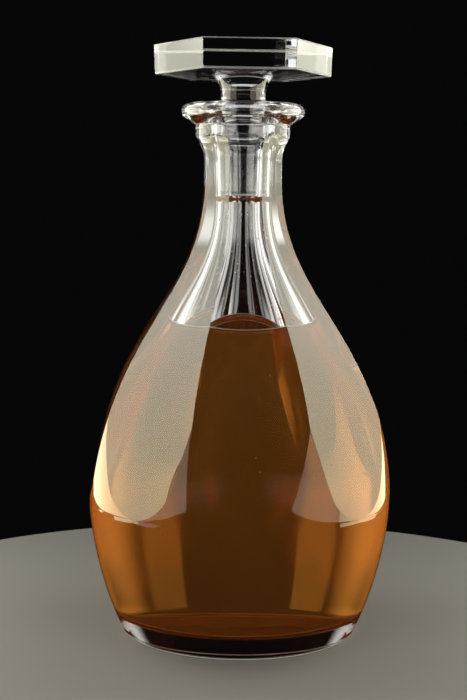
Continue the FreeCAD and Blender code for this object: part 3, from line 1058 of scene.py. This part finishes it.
def scatter_tree(material: bpy.types.Material) -> bpy.types.NodeTree:
    """Geometry Nodes that scatter small balls over a surface.

    Args:
        material: the balls' material.

    Returns:
        A tree with the inputs Density, Smallest, Largest and Seed.
    """
    rarity_of_large = 3.0
    tree = bpy.data.node_groups.new("Scatter balls", "GeometryNodeTree")
    tree.interface.new_socket("Geometry", in_out="INPUT", socket_type="NodeSocketGeometry")
    for name, kind in (("Density", "Float"), ("Smallest", "Float"), ("Largest", "Float"), ("Seed", "Int")):
        tree.interface.new_socket(name, in_out="INPUT", socket_type="NodeSocket" + kind)
    tree.interface.new_socket("Geometry", in_out="OUTPUT", socket_type="NodeSocketGeometry")
    nodes = NodeTree(tree)
    given = nodes.add("NodeGroupInput")
    points = nodes.add("GeometryNodeDistributePointsOnFaces", {
        "Mesh": given.outputs["Geometry"], "Density": given.outputs["Density"],
        "Seed": given.outputs["Seed"]})
    chance = nodes.add("FunctionNodeRandomValue", {"Seed": given.outputs["Seed"]}, data_type="FLOAT")
    rare = nodes.add("ShaderNodeMath", {0: chance.outputs[1], 1: rarity_of_large}, operation="POWER")
    size = nodes.add("ShaderNodeMapRange", {
        "Value": rare.outputs[0], "To Min": given.outputs["Smallest"], "To Max": given.outputs["Largest"]})
    ball = nodes.add("GeometryNodeMeshIcoSphere", {"Radius": 1.0, "Subdivisions": 3})
    balls = nodes.add("GeometryNodeInstanceOnPoints", {
        "Points": points.outputs[0], "Instance": ball.outputs[0], "Scale": size.outputs[0]})
    real = nodes.add("GeometryNodeRealizeInstances", {0: balls.outputs[0]})
    smooth = nodes.add("GeometryNodeSetShadeSmooth", {"Geometry": real.outputs[0], "Shade Smooth": True})
    last = nodes.add("GeometryNodeSetMaterial", {"Geometry": smooth.outputs[0], "Material": material})
    out = nodes.add("NodeGroupOutput")
    nodes.link(last.outputs[0], out.inputs[0])
    return tree


@dataclass
class Scatter:
    """Small balls of one kind on a turned band: drops in the neck, or bubbles in the drink.

    The density is balls for a square metre, and the radii are in millimetres.
    """

    name: str
    density: float
    smallest: float
    largest: float
    seed: int
    columns: int = 48

    def build(self, band: np.ndarray, material: bpy.types.Material) -> bpy.types.Object:
        """Scatter the balls.

        Args:
            band: the (radius, height) points of the surface that their centres lie on.
            material: their material.

        Returns:
            The finished piece.
        """
        rings = turned_rings(band, np.linspace(0.0, 2 * math.pi, self.columns + 1), Surface.POLISHED)
        return run_nodes(self.name, sector_mesh(self.name + "_band", rings), scatter_tree(material), {
            "Density": self.density, "Smallest": self.smallest * MM, "Largest": self.largest * MM,
            "Seed": self.seed})


# The studio


AMBER = (0.92, 0.84, 0.51)
PLAIN = (0.94, 0.98, 1.0)
PINK = (0.95, 0.80, 0.62)
NEUTRAL = (1.0, 0.98, 0.93)


@dataclass(frozen=True)
class Panel:
    """A soft rectangular light that the camera doesn't see, in metres.

    It faces across the decanter's axis unless it has an aim. Its brightness is how bright its face
    looks, and its colour goes from low to high up its face. It fades out at each edge over a share
    of its width and height. Polished faces mirror it if it is mirrored, and it lights matt faces
    and shows through glass if it is passing.
    """

    name: str
    place: Place
    size: Tuple[float, float]
    brightness: float
    low: Colour = NEUTRAL
    high: Colour = NEUTRAL
    aim: Optional[Place] = None
    mirrored: bool = False
    passing: bool = True
    fade: float = 0.25

    def shade(self, light: bpy.types.AreaLight) -> None:
        """Give the light its faded edges and its colours.

        Args:
            light: the light, with its size set.
        """
        light.use_nodes = True
        nodes = NodeTree(light.node_tree)
        place_on = nodes.add("ShaderNodeSeparateXYZ", {
            0: nodes.add("ShaderNodeNewGeometry").outputs["Parametric"]})
        strength = 1.0
        for axis in (0, 1):
            middle = nodes.add("ShaderNodeMath", {0: place_on.outputs[axis], 1: 0.5}, operation="SUBTRACT")
            away = nodes.add("ShaderNodeMath", {0: middle.outputs[0]}, operation="ABSOLUTE")
            edge = nodes.add("ShaderNodeMapRange", {
                "Value": away.outputs[0], "From Min": 0.5, "From Max": 0.5 - self.fade},
                interpolation_type="SMOOTHSTEP")
            strength = nodes.add("ShaderNodeMath", {0: strength, 1: edge.outputs[0]},
                                 operation="MULTIPLY").outputs[0]
        tone = nodes.add("ShaderNodeMix", {
            0: place_on.outputs[1], 6: (*self.low, 1.0), 7: (*self.high, 1.0)}, data_type="RGBA")
        glow = next(node for node in light.node_tree.nodes if node.type == "EMISSION")
        nodes.link(tone.outputs[2], glow.inputs["Color"])
        nodes.link(strength, glow.inputs["Strength"])

    def build(self, studio_turn: Matrix) -> bpy.types.Object:
        """Put the light in the scene.

        Args:
            studio_turn: how the studio stands turned about the decanter's axis.

        Returns:
            The light.
        """
        light = bpy.data.lights.new(self.name, "AREA")
        light.shape = "RECTANGLE"
        light.size, light.size_y = self.size
        light.energy = self.brightness * math.pi * self.size[0] * self.size[1]
        self.shade(light)
        item = bpy.data.objects.new(self.name, light)
        item.location = studio_turn @ Vector(self.place)
        aim = self.aim or (0.0, self.place[1], self.place[2])
        facing = studio_turn @ Vector(aim) - item.location
        item.rotation_euler = facing.to_track_quat("-Z", "Y").to_euler()
        item.visible_camera = False
        item.visible_glossy = self.mirrored
        item.visible_transmission = self.passing
        item.visible_diffuse = self.passing
        bpy.context.scene.collection.objects.link(item)
        return item


def side_panels(name: str, side: float, sheen: float, glow: float) -> List[Panel]:
    """The panels at one side: two that only polished faces mirror, and five that only pass.

    Args:
        name: which side it is.
        side: -1 for the left side, 1 for the right side.
        sheen: how bright the panel is that polished faces mirror most.
        glow: how bright the rear panel is, which shines through the drink.

    Returns:
        The panels.
    """
    return [
        Panel(name + " sheen", (side * 0.2, 0.05, 0.256), (0.26, 0.488), sheen, AMBER, PLAIN,
              mirrored=True, passing=False, fade=0.002),
        Panel(name + " front sheen", (side * 0.2, -0.18, 0.256), (0.2, 0.488), 2.0, PINK, PINK,
              mirrored=True, passing=False, fade=0.002),
        Panel(name + " panel", (side * 0.22, 0.12, 0.13), (0.46, 0.24), 0.75),
        Panel(name + " bright strip", (side * 0.21, 0.1, 0.13), (0.05, 0.22), 1.7, fade=0.3),
        Panel(name + " rear panel", (side * 0.24, 0.35, -0.04), (0.9, 0.34), glow, fade=0.4),
        Panel(name + " far panel", (side * 0.24, 1.15, -0.04), (0.8, 0.34), 0.3 * glow, fade=0.15),
        Panel(name + " front panel", (side * 0.34, -0.34, 0.15), (0.44, 0.3), 3.6, aim=(0.0, 0.0, 0.10))]


@dataclass
class Studio:
    """A pale floor, soft lights at both sides and above, and the camera.

    Places are in metres, the turn is in degrees, and the camera's pitch, yaw and roll are in
    radians.
    """

    turn: float = -4.5
    lens: float = 72.55
    nearest: float = 0.01
    camera_place: Place = (0.0, -0.6039, 0.18381)
    pitch: float = 0.1032
    yaw: float = -0.0052
    roll: float = 0.0095
    floor_radius: float = 0.2
    floor_corners: int = 180
    floor_colour: Colour = (0.30, 0.295, 0.29)
    floor_roughness: float = 0.7
    room_colour: Colour = (0.002, 0.002, 0.0022)
    glass_bounces: int = 40
    other_bounces: int = 16

    def turned(self) -> Matrix:
        """How the studio stands turned about the decanter's axis."""
        return Matrix.Rotation(math.radians(self.turn), 3, "Z")

    def make_camera(self) -> bpy.types.Object:
        """Set up the camera and make it the scene's own.

        Returns:
            The camera.
        """
        camera = bpy.data.cameras.new("camera")
        camera.lens = self.lens
        camera.clip_start = self.nearest
        item = bpy.data.objects.new("camera", camera)
        item.location = self.turned() @ Vector(self.camera_place)
        aim = Matrix.Rotation(-self.yaw, 3, "Z") @ Matrix.Rotation(math.pi / 2 - self.pitch, 3, "X")
        item.rotation_euler = (self.turned() @ aim @ Matrix.Rotation(self.roll, 3, "Z")).to_euler()
        bpy.context.scene.collection.objects.link(item)
        bpy.context.scene.camera = item
        return item

    def panels(self) -> List[Panel]:
        """Tall soft panels beside the decanter, a small strip at the head and a gentle light above.

        Returns:
            The panels.
        """
        return [
            *side_panels("left", -1.0, sheen=6.2, glow=0.85),
            *side_panels("right", 1.0, sheen=5.0, glow=0.65),
            Panel("small strip", (-0.21, 0.08, 0.27), (0.045, 0.12), 1.0, PLAIN, PLAIN, fade=0.1),
            Panel("top light", (0.0, 0.0, 0.75), (0.5, 0.5), 0.6, PLAIN, PLAIN, aim=(0.0, 0.0, 0.0),
                  mirrored=True, fade=0.02)]

    def make_world(self) -> None:
        """A dark room around the table."""
        world = bpy.data.worlds.new("room")
        world.use_nodes = True
        back = next(node for node in world.node_tree.nodes if node.type == "BACKGROUND")
        back.inputs["Color"].default_value = (*self.room_colour, 1.0)
        bpy.context.scene.world = world

    def make_floor(self) -> bpy.types.Object:
        """The pale round table top that the decanter stands on.

        Returns:
            The floor.
        """
        ring = [(self.floor_radius * math.cos(turn), self.floor_radius * math.sin(turn), 0.0)
                for turn in np.linspace(0.0, 2 * math.pi, self.floor_corners, endpoint=False)]
        mesh = bpy.data.meshes.new("floor")
        mesh.from_pydata(ring, [], [list(range(len(ring)))])
        item = bpy.data.objects.new("floor", mesh)
        bpy.context.scene.collection.objects.link(item)
        material = bpy.data.materials.new("pale floor")
        material.use_nodes = True
        shader = next(node for node in material.node_tree.nodes if node.type == "BSDF_PRINCIPLED")
        shader.inputs["Base Color"].default_value = (*self.floor_colour, 1.0)
        shader.inputs["Roughness"].default_value = self.floor_roughness
        mesh.materials.append(material)
        item.visible_glossy = False
        item.visible_transmission = False
        return item

    def build(self) -> None:
        """Set up the whole studio and how its light travels through glass."""
        self.make_camera()
        for panel in self.panels():
            panel.build(self.turned())
        self.make_world()
        self.make_floor()
        scene = bpy.context.scene
        scene.view_settings.view_transform = "Standard"
        scene.cycles.max_bounces = self.glass_bounces
        scene.cycles.transmission_bounces = self.glass_bounces
        scene.cycles.glossy_bounces = self.other_bounces
        scene.cycles.transparent_max_bounces = self.other_bounces


def finish_piece(piece: bpy.types.Object, node: str) -> None:
    """Let a piece ride on the decanter's body in place of its CAD node.

    Args:
        piece: the finished piece.
        node: the CAD node that it stands for.
    """
    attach(piece, "root")
    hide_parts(node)
    LOG.info("%s: %d faces, in place of %s", piece.name, len(piece.data.polygons), node)


def finish_balls(piece: bpy.types.Object) -> None:
    """Let drops or bubbles, which have no CAD node, ride on the decanter's body."""
    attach(piece, "root")
    LOG.info("%s: %d faces, an addition", piece.name, len(piece.data.polygons))


def main() -> None:
    """Build the decanter and the studio around it."""
    logging.basicConfig(level=logging.INFO, format="%(name)s: %(message)s")
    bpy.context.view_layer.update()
    Studio().build()
    groups = {pattern: relief_group(pattern) for pattern in Pattern}
    finishes = {surface: glass.material(groups) for surface, glass in FACE_FINISHES.items()}
    hollow = Hollow()
    finish_piece(Vessel(hollow).build(finishes), "decanter")
    finish_piece(Stopper().build(finishes), "stopper")
    drink = Drink(hollow)
    finish_piece(drink.build(Liquid().material()), "drink")
    drops = Scatter("neck_drops", density=26000.0, smallest=0.10, largest=0.42, seed=7)
    finish_balls(drops.build(hollow.neck_band(), DROP.material(groups)))
    bubbles = Scatter("drink_bubbles", density=2000.0, smallest=0.12, largest=0.45, seed=12)
    finish_balls(bubbles.build(drink.bubble_band(), BUBBLE.material(groups)))


if __name__ == "__main__":
    main()
